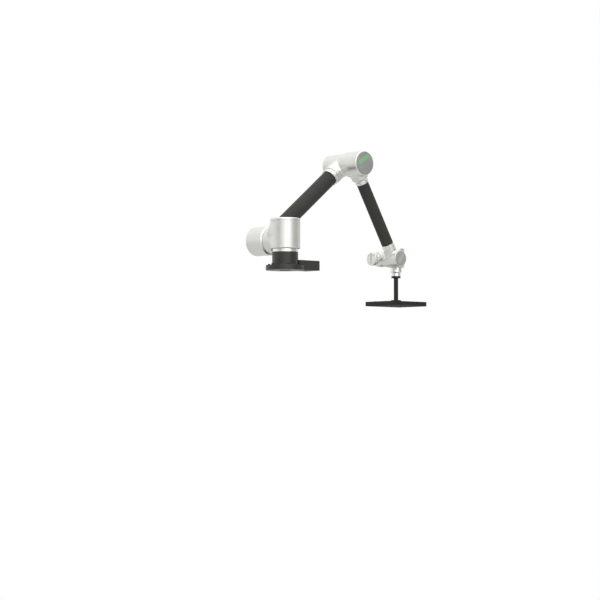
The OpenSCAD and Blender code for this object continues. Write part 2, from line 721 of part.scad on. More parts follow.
mounting_plate();
base_casting();
base_ring();
base_screws();
connector_box();
connector_box_cover();
power_socket();
shoulder_housing();
shoulder_cover();
shoulder_screws();
joint_1_gear();
joint_1_stator();
joint_1_rotor();
shoulder_drum();
shoulder_drum_cap();
upper_arm_lower_collar();
upper_arm_tube();
upper_arm_upper_collar();
elbow_casting();
elbow_end_cover();
upper_arm_screws();
joint_2_gear();
joint_2_stator();
joint_2_rotor();
elbow_housing();
elbow_cap();
elbow_cap_stripe();
forearm_upper_collar();
forearm_tube();
forearm_lower_collar();
wrist_housing();
wrist_cap();
wrist_cap_stripe();
forearm_screws();
joint_3_gear();
joint_3_stator();
joint_3_rotor();
joint_4_gear();
joint_4_stator();
joint_4_rotor();
wrist_1_housing();
wrist_1_cap();
wrist_1_cap_stripe();
wrist_1_screws();
joint_5_gear();
joint_5_stator();
joint_5_rotor();
wrist_2_housing();
wrist_2_cap();
wrist_2_screws();
joint_6_gear();
joint_6_stator();
joint_6_rotor();
tool_flange();
tool_adapter();
tool_screws();
gripper_pole();
pole_foot();
gripper_plate();
foam_pad();
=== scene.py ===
# Looks of the six-axis arm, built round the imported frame. Lengths are in millimetres up to the point where a
# mesh is made. The frame, the camera and the floor are in metres.
import json
import math

import bmesh
import bpy
import numpy as np
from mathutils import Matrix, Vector


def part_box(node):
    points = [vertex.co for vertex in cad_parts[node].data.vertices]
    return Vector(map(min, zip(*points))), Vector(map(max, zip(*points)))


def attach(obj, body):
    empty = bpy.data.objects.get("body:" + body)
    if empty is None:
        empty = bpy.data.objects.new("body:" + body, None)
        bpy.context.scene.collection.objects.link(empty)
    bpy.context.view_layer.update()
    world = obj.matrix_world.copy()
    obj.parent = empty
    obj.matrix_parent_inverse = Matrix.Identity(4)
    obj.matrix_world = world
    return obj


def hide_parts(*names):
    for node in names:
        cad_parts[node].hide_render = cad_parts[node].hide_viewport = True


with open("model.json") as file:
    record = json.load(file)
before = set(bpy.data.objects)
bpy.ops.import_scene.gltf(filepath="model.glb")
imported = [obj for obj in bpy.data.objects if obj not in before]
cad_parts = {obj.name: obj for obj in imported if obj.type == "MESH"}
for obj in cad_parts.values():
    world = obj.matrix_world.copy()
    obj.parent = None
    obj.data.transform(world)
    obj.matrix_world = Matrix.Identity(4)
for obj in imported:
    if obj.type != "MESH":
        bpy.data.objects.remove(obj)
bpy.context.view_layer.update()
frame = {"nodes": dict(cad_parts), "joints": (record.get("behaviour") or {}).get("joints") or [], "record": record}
scene = bpy.context.scene
MM = 0.001

# ---- Camera: the photograph's viewing angle ----
# Focal length in widths of the picture, and the sensor's width in millimetres
LENS_WIDTHS = 4.0
SENSOR = 36.0
VIEW_AZIMUTH = math.radians(-43.0)
DISTANCE = 15.4
CAMERA_Z = -0.865
# Where the camera aims, as slopes to the right and upwards from straight ahead
AIM_RIGHT, AIM_UP = 0.0062083, 0.04375
forward = Vector((-math.sin(VIEW_AZIMUTH), math.cos(VIEW_AZIMUTH), 0.0))
right = Vector((forward.y, -forward.x, 0.0))
aim = forward + right * AIM_RIGHT + Vector((0.0, 0.0, AIM_UP))
camera_data = bpy.data.cameras.new("camera")
camera_data.sensor_width = SENSOR
camera_data.lens = LENS_WIDTHS * SENSOR
camera_data.clip_end = 200.0
camera = bpy.data.objects.new("camera", camera_data)
camera.location = -forward * DISTANCE + Vector((0.0, 0.0, CAMERA_Z))
camera.rotation_euler = aim.to_track_quat("-Z", "Y").to_euler()
scene.collection.objects.link(camera)
scene.camera = camera
scene.view_settings.view_transform = "Standard"


# ---- Materials ----
def node_tree(name):
    material = bpy.data.materials.new(name)
    material.use_nodes = True
    tree = material.node_tree
    shader = tree.nodes["Principled BSDF"]
    return material, tree, shader


def add_node(tree, kind, **values):
    node = tree.nodes.new(kind)
    for key, value in values.items():
        if hasattr(node, key):
            setattr(node, key, value)
        else:
            node.inputs[key.replace("_", " ")].default_value = value
    return node


def noise(tree, scale, detail):
    texture = add_node(tree, "ShaderNodeTexNoise", Scale=scale, Detail=detail)
    place = tree.nodes.new("ShaderNodeTexCoord")
    tree.links.new(place.outputs["Object"], texture.inputs["Vector"])
    return texture.outputs["Fac"]


# The part of a noise's range that most of its values lie in
NOISE_LOW, NOISE_HIGH = 0.3, 0.7


def spread(tree, source, low, high):
    """Maps a noise to the range from low to high."""
    node = tree.nodes.new("ShaderNodeMapRange")
    node.inputs["From Min"].default_value = NOISE_LOW
    node.inputs["From Max"].default_value = NOISE_HIGH
    node.inputs["To Min"].default_value = low
    node.inputs["To Max"].default_value = high
    tree.links.new(source, node.inputs["Value"])
    return node.outputs["Result"]


# The Mix node's sockets, which share their names between kinds of data
MIX_FACTOR, MIX_FIRST, MIX_SECOND, MIX_RESULT = 0, 6, 7, 2


def blend_colour(tree, factor, dark, light):
    node = add_node(tree, "ShaderNodeMix", data_type="RGBA")
    node.inputs[MIX_FIRST].default_value = (*dark, 1.0)
    node.inputs[MIX_SECOND].default_value = (*light, 1.0)
    tree.links.new(factor, node.inputs[MIX_FACTOR])
    return node.outputs[MIX_RESULT]


SMUDGE_SCALE, SMUDGE_SWING = 28.0, 0.12
RELIEF_DEPTH = 0.0004
coats = {}


def coat(name, colour, metallic, roughness, grain, bump, vary=0.06, spec=0.5, clouds=9.0):
    """Makes a surface with cloudy colour, uneven gloss and fine grain in relief, and keeps it by its name."""
    material, tree, shader = node_tree(name)
    shader.inputs["Metallic"].default_value = metallic
    shader.inputs["Specular IOR Level"].default_value = spec
    dark = [c * (1.0 - vary) for c in colour]
    light = [min(1.0, c * (1.0 + vary)) for c in colour]
    tint = blend_colour(tree, spread(tree, noise(tree, clouds, 4.0), 0.0, 1.0), dark, light)
    tree.links.new(tint, shader.inputs["Base Color"])
    duller, glossier = roughness * (1.0 + SMUDGE_SWING), roughness * (1.0 - SMUDGE_SWING)
    gloss = spread(tree, noise(tree, SMUDGE_SCALE, 3.0), glossier, duller)
    tree.links.new(gloss, shader.inputs["Roughness"])
    relief = add_node(tree, "ShaderNodeBump", Strength=bump, Distance=RELIEF_DEPTH)
    tree.links.new(noise(tree, grain, 5.0), relief.inputs["Height"])
    tree.links.new(relief.outputs["Normal"], shader.inputs["Normal"])
    coats[name] = material


coat("cast_silver", (0.80, 0.80, 0.765), 1.0, 0.38, 1400.0, 0.05, 0.03)
coat("cover_silver", (0.82, 0.82, 0.79), 1.0, 0.35, 1800.0, 0.04, 0.03)
coat("machined_silver", (0.88, 0.88, 0.85), 1.0, 0.24, 2600.0, 0.03, 0.03)
coat("tube_charcoal", (0.044, 0.045, 0.040), 0.0, 0.50, 700.0, 0.12, 0.20, spec=0.12, clouds=170.0)
coat("cap_grey", (0.30, 0.30, 0.292), 0.0, 0.42, 1500.0, 0.08, 0.05, spec=0.3)
# The next coat is the cap grey made paler, as painted light on the wrist's cap.
coat("cap_grey_painted_light", (0.355, 0.355, 0.335), 0.0, 0.42, 1500.0, 0.08, 0.05, spec=0.3)
coat("stripe_green", (0.232, 0.471, 0.234), 0.0, 0.38, 900.0, 0.06, 0.05, spec=0.3)
# The next coat is the stripe green made paler, as painted light on the wrist's stripe.
coat("stripe_green_painted_light", (0.386, 0.479, 0.357), 0.0, 0.38, 900.0, 0.06, 0.05, spec=0.3)
# The next coat is the stripe green made darker and greyer, as painted shade on the elbow cap's lower band.
coat("stripe_green_painted_shade", (0.26, 0.33, 0.255), 0.0, 0.40, 900.0, 0.06, 0.05, spec=0.3)
# The next coat is the stripe green made lighter still, as stronger painted light on the wrist_1 cap's stripe.
coat("stripe_green_painted_strong_light", (0.51, 0.62, 0.485), 0.0, 0.38, 900.0, 0.06, 0.04, spec=0.3)
coat("base_black", (0.026, 0.026, 0.023), 0.0, 0.34, 500.0, 0.18, 0.12)
coat("box_black", (0.030, 0.030, 0.027), 0.0, 0.5, 600.0, 0.25, 0.12, spec=0.4)
coat("socket_black", (0.02, 0.02, 0.02), 0.0, 0.42, 900.0, 0.15, 0.1)
coat("tool_black", (0.017, 0.0165, 0.015), 0.3, 0.4, 900.0, 0.15, 0.12, spec=0.4)
coat("foam", (0.016, 0.016, 0.016), 0.0, 0.85, 350.0, 0.9, 0.3)
coat("screw_steel", (0.5, 0.5, 0.5), 1.0, 0.3, 1500.0, 0.05)
coat("gear_steel", (0.5, 0.51, 0.53), 1.0, 0.3, 1500.0, 0.1)
coat("coil_copper", (0.55, 0.28, 0.13), 1.0, 0.4, 300.0, 0.6)
coat("rotor_steel", (0.3, 0.31, 0.35), 1.0, 0.3, 1500.0, 0.1)
coat("seal", (0.012, 0.012, 0.012), 0.0, 0.6, 700.0, 0.2)

slot_of = {}
for part in frame["record"]["subparts"]:
    slot_of[part["node"]] = part["material_slot"]
body_of = {}
for body, members in frame["record"]["behaviour"]["bodies"].items():
    for member in members:
        body_of[member] = body


# ---- Pieces ----
def paint(mesh, look):
    mesh.materials.clear()
    mesh.materials.append(coats[look])


def place_piece(name, mesh, slot, body, stands_for=(), look=None):
    """Links a mesh as a piece that rides on a body and stands for the CAD nodes it names."""
    piece = bpy.data.objects.new(name, mesh)
    scene.collection.objects.link(piece)
    paint(mesh, look or slot)
    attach(piece, body)
    if stands_for:
        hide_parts(*stands_for)
    return piece


def shade(mesh, angle=32.0):
    mesh.polygons.foreach_set("use_smooth", np.ones(len(mesh.polygons), dtype=bool))
    mesh.set_sharp_from_angle(angle=math.radians(angle))


def closed_mesh(name, bm):
    """Stores a closed shape as a mesh, with its faces turned outwards."""
    bmesh.ops.recalc_face_normals(bm, faces=bm.faces)
    mesh = bpy.data.meshes.new(name)
    bm.to_mesh(mesh)
    bm.free()
    return mesh


def welded_mesh(name, points, faces):
    """Makes a closed mesh, with points in the same place joined and its faces turned outwards."""
    mesh = bpy.data.meshes.new(name)
    mesh.from_pydata(points, [], faces)
    bm = bmesh.new()
    bm.from_mesh(mesh)
    bmesh.ops.remove_doubles(bm, verts=bm.verts, dist=1e-6)
    bmesh.ops.recalc_face_normals(bm, faces=bm.faces)
    bm.to_mesh(mesh)
    bm.free()
    return mesh


# Faces that meet at less than the first angle are one face, and edges sharper than the second are rounded
FLAT_ANGLE, SHARP_ANGLE = math.radians(0.4), math.radians(35)
BEVEL_STEPS = 2


def refined(node, bevel, look=None):
    """A copy of a CAD node's shape with its triangles joined into faces and its sharp edges rounded."""
    bm = bmesh.new()
    bm.from_mesh(frame["nodes"][node].data)
    bmesh.ops.remove_doubles(bm, verts=bm.verts, dist=2e-6)
    bmesh.ops.dissolve_limit(bm, angle_limit=FLAT_ANGLE, verts=bm.verts, edges=bm.edges)
    sharp = [e for e in bm.edges if len(e.link_faces) == 2 and e.calc_face_angle(0.0) > SHARP_ANGLE]
    bmesh.ops.bevel(bm, geom=sharp, offset=bevel * MM, segments=BEVEL_STEPS, profile=0.5, affect="EDGES",
                    clamp_overlap=True)
    mesh = bpy.data.meshes.new(node + "_detail")
    bm.to_mesh(mesh)
    bm.free()
    shade(mesh, 40.0)
    piece = place_piece(node + "_detail", mesh, slot_of[node], body_of[node], (node,), look)
    weighted = piece.modifiers.new("even_normals", "WEIGHTED_NORMAL")
    weighted.keep_sharp = True


ROUNDING_STEPS, TURN_STEPS = 4, 112


def rounded(profile):
    """Rounds the corners of a closed outline: each point is (along, radius) or (along, radius, rounding)."""
    points = []
    count = len(profile)
    for i, corner in enumerate(profile):
        here = np.array(corner[:2], dtype=float)
        if len(corner) < 3:
            points.append(here)
            continue
        before = np.array(profile[i - 1][:2], dtype=float)
        after = np.array(profile[(i + 1) % count][:2], dtype=float)
        start = here + (before - here) / np.linalg.norm(before - here) * corner[2]
        end = here + (after - here) / np.linalg.norm(after - here) * corner[2]
        for s in np.linspace(0.0, 1.0, ROUNDING_STEPS + 1):
            points.append((1 - s) ** 2 * start + 2 * s * (1 - s) * here + s * s * end)
    return points


def basis(axis):
    along = Vector(axis).normalized()
    side = along.cross(Vector((0.0, 1.0, 0.0) if abs(along.y) < 0.9 else (1.0, 0.0, 0.0))).normalized()
    return along, side, along.cross(side)


def turned(name, profile, origin, axis, slot, body, stands_for=()):
    """Turns a closed outline of (along, radius) points about an axis through the origin given."""
    along, side, up = basis(axis)
    points = rounded(profile)
    bm = bmesh.new()
    rings = []
    for distance, radius in points:
        centre = Vector(origin) + along * float(distance)
        if radius < 1e-6:
            rings.append([bm.verts.new(centre * MM)])
            continue
        ring = []
        for k in range(TURN_STEPS):
            a = 2 * math.pi * k / TURN_STEPS
            ring.append(bm.verts.new((centre + (side * math.cos(a) + up * math.sin(a)) * float(radius)) * MM))
        rings.append(ring)
    for i in range(len(rings)):
        one, two = rings[i], rings[(i + 1) % len(rings)]
        if len(one) == 1 and len(two) == 1:
            continue
        for k in range(TURN_STEPS):
            n = (k + 1) % TURN_STEPS
            if len(one) == 1:
                bm.faces.new((one[0], two[n], two[k]))
            elif len(two) == 1:
                bm.faces.new((one[k], one[n], two[0]))
            else:
                bm.faces.new((one[k], one[n], two[n], two[k]))
    mesh = closed_mesh(name, bm)
    shade(mesh)
    place_piece(name, mesh, slot, body, stands_for)


# ---- Castings: shapes as distance fields, meshed on a grid and pulled onto the exact surface ----
# Half the distance over which a field's slope is measured
PROBE = 0.25
SETTLING_PASSES = 4


def rod(p, start, end, radius, edge):
    start = np.array(start, dtype=float)
    axis = np.array(end, dtype=float) - start
    length = np.linalg.norm(axis)
    axis /= length
    along = (p - start) @ axis
    away = np.linalg.norm(p - start - along[:, None] * axis, axis=1)
    over = away - (radius - edge)
    past = np.abs(along - length / 2) - (length / 2 - edge)
    outside = np.hypot(np.maximum(over, 0.0), np.maximum(past, 0.0))
    return outside + np.minimum(np.maximum(over, past), 0.0) - edge


def cone(p, start, axis, reach, radii):
    """A solid turned about an axis whose radius runs straight between the places given."""
    start = np.array(start, dtype=float)
    axis = np.array(axis, dtype=float) / np.linalg.norm(axis)
    along = (p - start) @ axis
    away = np.linalg.norm(p - start - along[:, None] * axis, axis=1)
    radius = np.interp(along, reach, radii)
    slope = np.abs(np.diff(radii) / np.diff(reach)).max()
    side = (away - radius) / math.sqrt(1.0 + slope * slope)
    return smooth_max(side, np.maximum(reach[0] - along, along - reach[-1]), 3.0)


def smooth_min(a, b, k):
    """Joins two fields with a fillet about k wide, which adds up to a quarter of k where both surfaces meet."""
    h = np.maximum(k - np.abs(a - b), 0.0) / k
    return np.minimum(a, b) - h * h * k * 0.25


def smooth_max(a, b, k):
    return -smooth_min(-a, -b, k)


def gradient(field, p):
    parts = []
    for i in range(3):
        offset = np.zeros(3)
        offset[i] = PROBE
        parts.append((field(p + offset) - field(p - offset)) / (2 * PROBE))
    return np.stack(parts, axis=1)


def casting(node, field, low, high, step):
    """Meshes a distance field with surface nets, then moves each point onto the surface."""
    low = np.array(low, dtype=float) - 2 * step
    size = np.ceil((np.array(high) + 2 * step - low) / step).astype(int) + 1
    axes = [low[i] + step * np.arange(size[i]) for i in range(3)]
    grid = np.stack(np.meshgrid(*axes, indexing="ij"), axis=-1).reshape(-1, 3)
    value = field(grid).reshape(size)
    cells = size - 1
    stride = np.array([cells[1] * cells[2], cells[2], 1])
    total = np.zeros((int(np.prod(cells)), 3))
    count = np.zeros(int(np.prod(cells)))
    quads = []
    for axis in range(3):
        first = [slice(None)] * 3
        second = [slice(None)] * 3
        first[axis] = slice(0, -1)
        second[axis] = slice(1, None)
        a = value[tuple(first)]
        b = value[tuple(second)]
        edge = np.argwhere((a < 0) != (b < 0))
        va = a[tuple(edge.T)]
        vb = b[tuple(edge.T)]
        point = edge.astype(float)
        point[:, axis] += va / (va - vb)
        u, v = (axis + 1) % 3, (axis + 2) % 3
        corners = []
        for du, dv in ((0, 0), (-1, 0), (-1, -1), (0, -1)):
            cell = edge.copy()
            cell[:, u] += du
            cell[:, v] += dv
            index = cell @ stride
            corners.append(index)
            np.add.at(total, index, point)
            np.add.at(count, index, 1.0)
        quad = np.stack(corners, axis=1)
        flip = va > 0
        quad[flip] = quad[flip][:, ::-1]
        quads.append(quad)
    used = np.flatnonzero(count)
    number = np.full(count.shape, -1)
    number[used] = np.arange(len(used))
    points = low + step * total[used] / count[used][:, None]
    for _ in range(SETTLING_PASSES):
        slope = gradient(field, points)
        points -= slope * (field(points) / np.maximum((slope * slope).sum(axis=1), 1e-9))[:, None]
    faces = number[np.concatenate(quads)]
    mesh = bpy.data.meshes.new(node + "_detail")
    mesh.from_pydata((points * MM).tolist(), [], faces.tolist())
    mesh.validate()
    normals = gradient(field, points)
    normals /= np.linalg.norm(normals, axis=1)[:, None]
    mesh.polygons.foreach_set("use_smooth", np.ones(len(mesh.polygons), dtype=bool))
    mesh.normals_split_custom_set_from_vertices(normals.tolist())
    place_piece(node + "_detail", mesh, slot_of[node], body_of[node], (node,))


# Sizes repeated from the CAD source
joint_at = {}
for joint in frame["joints"]:
    joint_at[joint["name"]] = np.array(joint["pos_m"]) / MM
SHOULDER_Z = joint_at["joint_2"][2]
ELBOW_X, ELBOW_Z = joint_at["joint_3"][[0, 2]]
WRIST_X, WRIST_Z = joint_at["joint_4"][[0, 2]]
TOOL_X = joint_at["joint_6"][0]
WRIST_Y = joint_at["joint_6"][1]
UPPER_Y = 178.0
FORE_Y = 59.0
upper_span = np.array([ELBOW_X, 0.0, ELBOW_Z - SHOULDER_Z])
upper_dir = upper_span / np.linalg.norm(upper_span)
fore_span = np.array([WRIST_X - ELBOW_X, 0.0, WRIST_Z - ELBOW_Z])
fore_dir = fore_span / np.linalg.norm(fore_span)
upper_start = np.array([0.0, UPPER_Y, SHOULDER_Z])
upper_end = np.array([ELBOW_X, UPPER_Y, ELBOW_Z])
fore_start = np.array([ELBOW_X, FORE_Y, ELBOW_Z])
fore_end = np.array([WRIST_X, FORE_Y, WRIST_Z])
# Each housing's face at its joint, its far end or cover, and its radius
J1_FACE, J1_COVER, J1_TOP, J1_R, J1_BORE_R = 138.0, 318.0, 336.0, 98.0, 88.0
J2_FACE, J2_CAP, J2_TOP, J2_R, NECK_R = 127.0, 262.0, 286.0, 95.0, 86.0
ELBOW_R, ELBOW_LIP_R, ELBOW_COVER, ELBOW_TOP = 73.0, 80.0, 270.0, 296.0
J3_FACE, J3_END, J3_R, J3_STEP = 112.0, -45.0, 81.9, 8.0
J4_FACE, J4_END, J4_R, J4_STEP = 105.0, -14.0, 53.5, 6.0
J5_REAR, J5_BACK, J5_FACE, J5_R, J5_NECK_R = -98.0, -36.0, 78.0, 49.0, 30.0
J6_BOTTOM, J6_COVER, J6_TOP, J6_R, J6_NECK_R = 72.0, 190.0, 202.0, 58.0, 47.0
JOINT_GAP = 1.0
# Each clamp collar's start and end along its tube from the joint nearest to it, its radius, and its boss's
UPPER_LOW_CLAMP, UPPER_LOW_RING_R, DRUM_BOSS_R = (128.0, 152.0), 55.0, 58.0
UPPER_HIGH_CLAMP, UPPER_HIGH_RING_R, ELBOW_BOSS_R = (122.0, 152.0), 59.0, 64.0
FORE_HIGH_CLAMP, FORE_BOSS_R, FORE_BOSS_END_R = (120.0, 144.0), 57.0, 44.0
FORE_LOW_CLAMP, WRIST_BOSS_R = (82.0, 114.0), 43.0
UPPER_TUBE_R, FORE_TUBE_R, FORE_RING_R = 47.0, 35.0, 42.0
# The neck's flare: its height over the neck's axis, its full and last places along the neck, and its limits
FLARE_RISE, FLARE_FULL, FLARE_END = 70.0, 52.0, 100.0
FLARE_R, FLARE_TOP, FLARE_HALF = 128.0, 320.0, 96.0


def bevelled(field, p, centre, axis, radius, size):
    """Cuts a flat 45 degree edge, starting from the face at the centre given and running along the axis."""
    axis = np.array(axis, dtype=float)
    along = (p - np.array(centre, dtype=float)) @ axis
    away = np.linalg.norm(p - np.array(centre, dtype=float) - along[:, None] * axis, axis=1)
    return smooth_max(field, (away - radius + size - along) / math.sqrt(2.0), 0.8)


def shoulder_field(p):
    barrel = rod(p, (0, 0, J1_FACE), (0, 0, J1_COVER), J1_R, 5.0)
    neck = rod(p, (0, 0, SHOULDER_Z), (0, J2_FACE - JOINT_GAP, SHOULDER_Z), NECK_R, 2.5)
    # The neck widens towards the housing in its upper half only, and more so the higher it is
    rise = np.clip((p[:, 2] - SHOULDER_Z) / FLARE_RISE, 0.0, 1.0)
    rise = rise * rise * (3.0 - 2.0 * rise)
    narrow = NECK_R - 1.0
    wide = np.interp(p[:, 1], [0.0, FLARE_FULL, FLARE_END], [FLARE_R, FLARE_R, narrow])
    radius = narrow + (wide - narrow) * rise
    flare = (np.hypot(p[:, 0], p[:, 2] - SHOULDER_Z) - radius) / 1.5
    flare = smooth_max(flare, np.maximum(-p[:, 1], p[:, 1] - FLARE_END), 3.0)
    flare = smooth_max(flare, p[:, 2] - FLARE_TOP, 10.0)
    flare = smooth_max(flare, np.abs(p[:, 0]) - FLARE_HALF, 10.0)
    body = smooth_min(smooth_min(neck, flare, 6.0), barrel, 8.0)
    bore = rod(p, (0, 0, -60), (0, 0, J1_FACE), J1_BORE_R, 2.0)
    return smooth_max(body, -bore, 2.0)


def drum_field(p):
    drum = rod(p, (0, J2_FACE, SHOULDER_Z), (0, J2_CAP, SHOULDER_Z), J2_R, 1.5)
    drum = bevelled(drum, p, (0, J2_FACE, SHOULDER_Z), (0, 1, 0), J2_R, 8.0)
    boss = rod(p, upper_start, upper_start + upper_dir * UPPER_LOW_CLAMP[0], DRUM_BOSS_R, 4.0)
    boss = smooth_max(boss, J2_FACE - p[:, 1], 4.0)
    return smooth_min(drum, boss, 16.0)


def elbow_field(p):
    foot = (ELBOW_X, J3_FACE + JOINT_GAP, ELBOW_Z)
    barrel = rod(p, foot, (ELBOW_X, ELBOW_COVER, ELBOW_Z), ELBOW_R, 2.5)
    flare = cone(p, foot, (0, 1, 0), [0.0, 5.0, 22.0], [ELBOW_LIP_R, ELBOW_LIP_R, ELBOW_R - 1.0])
    boss = rod(p, upper_end - upper_dir * UPPER_HIGH_CLAMP[0], upper_end, ELBOW_BOSS_R, 4.0)
    return smooth_min(smooth_min(barrel, flare, 4.0), boss, 14.0)


def elbow_housing_field(p):
    step = (ELBOW_X, J3_END + J3_STEP, ELBOW_Z)
    barrel = rod(p, (ELBOW_X, J3_FACE, ELBOW_Z), step, J3_R, 1.5)
    barrel = bevelled(barrel, p, step, (0, 1, 0), J3_R, 5.5)
    end = FORE_HIGH_CLAMP[0]
    boss = cone(p, fore_start, fore_dir, [0.0, end - 16.0, end], [FORE_BOSS_R, FORE_BOSS_R, FORE_BOSS_END_R])
    boss = smooth_max(boss, p[:, 1] - J3_FACE, 3.0)
    return smooth_min(barrel, boss, 18.0)


def wrist_field(p):
    step = (WRIST_X, J4_END + J4_STEP, WRIST_Z)
    barrel = rod(p, (WRIST_X, J4_FACE, WRIST_Z), step, J4_R, 1.5)
    barrel = bevelled(barrel, p, step, (0, 1, 0), J4_R, 2.5)
    boss = rod(p, fore_end - fore_dir * FORE_LOW_CLAMP[0], fore_end, WRIST_BOSS_R, 3.0)
    return smooth_min(barrel, boss, 12.0)


def along_wrist(x):
    """A point on joint 5's axis, x past joint 4."""
    return (WRIST_X + x, WRIST_Y, WRIST_Z)


def wrist_1_field(p):
    cross = rod(p, (WRIST_X, J4_FACE + JOINT_GAP, WRIST_Z), along_wrist(0), J4_R - 3, 2.5)
    barrel = rod(p, along_wrist(J5_BACK), along_wrist(J5_FACE), J5_R, 4.0)
    neck = rod(p, along_wrist(-76), along_wrist(0), J5_NECK_R, 1.0)
    return smooth_min(smooth_min(cross, barrel, 12.0), neck, 6.0)


def wrist_2_field(p):
    barrel = rod(p, (TOOL_X, WRIST_Y, J6_BOTTOM), (TOOL_X, WRIST_Y, J6_COVER), J6_R, 4.0)
    cross = rod(p, along_wrist(J5_FACE + JOINT_GAP), (TOOL_X, WRIST_Y, WRIST_Z), J6_NECK_R, 2.5)
    return smooth_min(barrel, cross, 10.0)


def node_box(node):
    low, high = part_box(node)
    return np.array(low) / MM, np.array(high) / MM


# Room round a CAD shape for the grid that its casting is meshed on
GRID_ROOM = 20.0
for node, field, step in (
    ("shoulder_housing", shoulder_field, 2.5),
    ("shoulder_drum", drum_field, 2.5),
    ("elbow_casting", elbow_field, 2.5),
    ("elbow_housing", elbow_housing_field, 2.5),
    ("wrist_housing", wrist_field, 2.0),
    ("wrist_1_housing", wrist_1_field, 2.0),
    ("wrist_2_housing", wrist_2_field, 2.0),
):
    low, high = node_box(node)
    casting(node, field, low - GRID_ROOM, high + GRID_ROOM, step)

# ---- Pieces whose CAD shape is right get rounded edges ----
for node, bevel in (
    ("mounting_plate", 1.2), ("base_casting", 1.2), ("base_ring", 1.0), ("connector_box", 1.2),
    ("connector_box_cover", 1.0), ("power_socket", 0.8), ("shoulder_cover", 0.5), ("shoulder_drum_cap", 0.5),
    ("elbow_end_cover", 0.5), ("elbow_cap", 0.3), ("wrist_1_cap", 0.3), ("wrist_2_cap", 0.4),
    ("upper_arm_tube", 0.6), ("forearm_tube", 0.6),
    ("tool_adapter", 0.8), ("gripper_pole", 0.5), ("pole_foot", 0.8), ("gripper_plate", 1.2), ("foam_pad", 1.0),
    ("tool_screws", 0.3),
):
    refined(node, bevel)
refined("base_screws", 0.5, look="socket_black")
# The wrist's cap takes the paler cap grey, which is painted light.
refined("wrist_cap", 0.3, look="cap_grey_painted_light")
# The wrist caps' stripes take the paler and lighter greens, which are painted light; the elbow cap's stripe keeps
# the plain green.
for node, look in (
    ("elbow_cap_stripe", "stripe_green"), ("wrist_cap_stripe", "stripe_green_painted_light"),
    ("wrist_1_cap_stripe", "stripe_green_painted_strong_light"),
):
    refined(node, 0.2, look=look)


# ---- Clamp collars: a stepped and grooved ring, with a thin black strip along its length as painted shade for a slot ----
SLOT_WIDTH, SLOT_DEPTH, SLOT_PROUD = 2.2, 2.0, 0.12


def collar(node, origin, axis, clamp, radius, bore, slot_turn):
    start, end = clamp
    length = end - start
    ring = [(0, bore), (0, radius - 1.5, 0.8), (0.14 * length, radius - 1.5), (0.14 * length, radius, 0.6),
            (0.25 * length, radius), (0.25 * length, radius + 2.5, 0.9), (0.6 * length, radius + 2.5, 0.9),
            (0.6 * length, radius), (0.72 * length, radius), (0.72 * length, radius - 1.8),
            (0.78 * length, radius - 1.8), (0.78 * length, radius), (length, radius, 1.2), (length, bore)]
    along, side, up = basis(axis)
    foot = Vector(origin) + along * start
    turned(node + "_detail", ring, foot, axis, slot_of[node], body_of[node], (node,))
    outward = side * math.cos(slot_turn) + up * math.sin(slot_turn)
    across = along.cross(outward)
    # The slot follows the ring's steps: where each step starts and ends, and how far it stands from the radius
    bm = bmesh.new()
    for low, high, step in (
        (0.02, 0.14, -1.5), (0.14, 0.25, 0.0), (0.25, 0.6, 2.5), (0.6, 0.72, 0.0),
        (0.72, 0.78, -1.8), (0.78, 0.98, 0.0),
    ):
        for v in bmesh.ops.create_cube(bm, size=1.0)["verts"]:
            reach = (low if v.co.x < 0.0 else high) * length
            lift = radius + step + SLOT_PROUD - (SLOT_DEPTH if v.co.z < 0.0 else 0.0)
            v.co = (foot + along * reach + across * (v.co.y * SLOT_WIDTH) + outward * lift) * MM
    # The strip is a black box standing just proud of the ring, painted shade where a slot would be; nothing is
    # cut.
    place_piece(node + "_slot", closed_mesh(node + "_slot", bm), "seal", body_of[node])


UPPER_SLOT_TURN, FORE_SLOT_TURN = 2.4, 0.9
upper_back, fore_back = -Vector(upper_dir), -Vector(fore_dir)
collar("upper_arm_lower_collar", upper_start, upper_dir, UPPER_LOW_CLAMP, UPPER_LOW_RING_R, UPPER_TUBE_R,
       UPPER_SLOT_TURN)
collar("upper_arm_upper_collar", upper_end, upper_back, UPPER_HIGH_CLAMP, UPPER_HIGH_RING_R, UPPER_TUBE_R,
       UPPER_SLOT_TURN)
collar("forearm_upper_collar", fore_start, fore_dir, FORE_HIGH_CLAMP, FORE_RING_R, FORE_TUBE_R, FORE_SLOT_TURN)
collar("forearm_lower_collar", fore_end, fore_back, FORE_LOW_CLAMP, FORE_RING_R, FORE_TUBE_R, FORE_SLOT_TURN)

# ---- Turning flange, and small turned parts that the CAD leaves plain ----
TOOL_FOOT, UPRIGHT = (TOOL_X, WRIST_Y, 0), (0, 0, 1)
turned("tool_flange_detail", [
    (12, 8), (12, 31.5, 0.8), (16, 31.5), (16, 30.3), (17.5, 30.3), (17.5, 31.5), (32, 31.5), (32, 30.5),
    (33.2, 30.5), (33.2, 31.5), (36, 33.5, 1.5), (38, 40, 2.5), (44, 40), (44, 38.9), (45.4, 38.9), (45.4, 40),
    (71, 40, 1.0), (71, 8)],
    TOOL_FOOT, UPRIGHT, slot_of["tool_flange"], body_of["tool_flange"], ("tool_flange",))
turned("flange_rim", [(12.2, 30), (12.2, 32.2, 0.3), (14.6, 32.2, 0.3), (14.6, 30)], TOOL_FOOT, UPRIGHT,
       "machined_silver", body_of["tool_flange"])
FOOT_TOP, PEDESTAL_R, FILLET = 32.0, 84.0, 7.0
turned("pedestal_fillet", [(FOOT_TOP - 0.5, PEDESTAL_R - 1)] + [
    (FOOT_TOP + FILLET - FILLET * math.cos(t), PEDESTAL_R + FILLET - FILLET * math.sin(t))
    for t in np.linspace(0.0, math.pi / 2, 9)] + [(FOOT_TOP + FILLET, PEDESTAL_R - 1)],
    (0, 0, 0), UPRIGHT, slot_of["base_casting"], body_of["base_casting"])
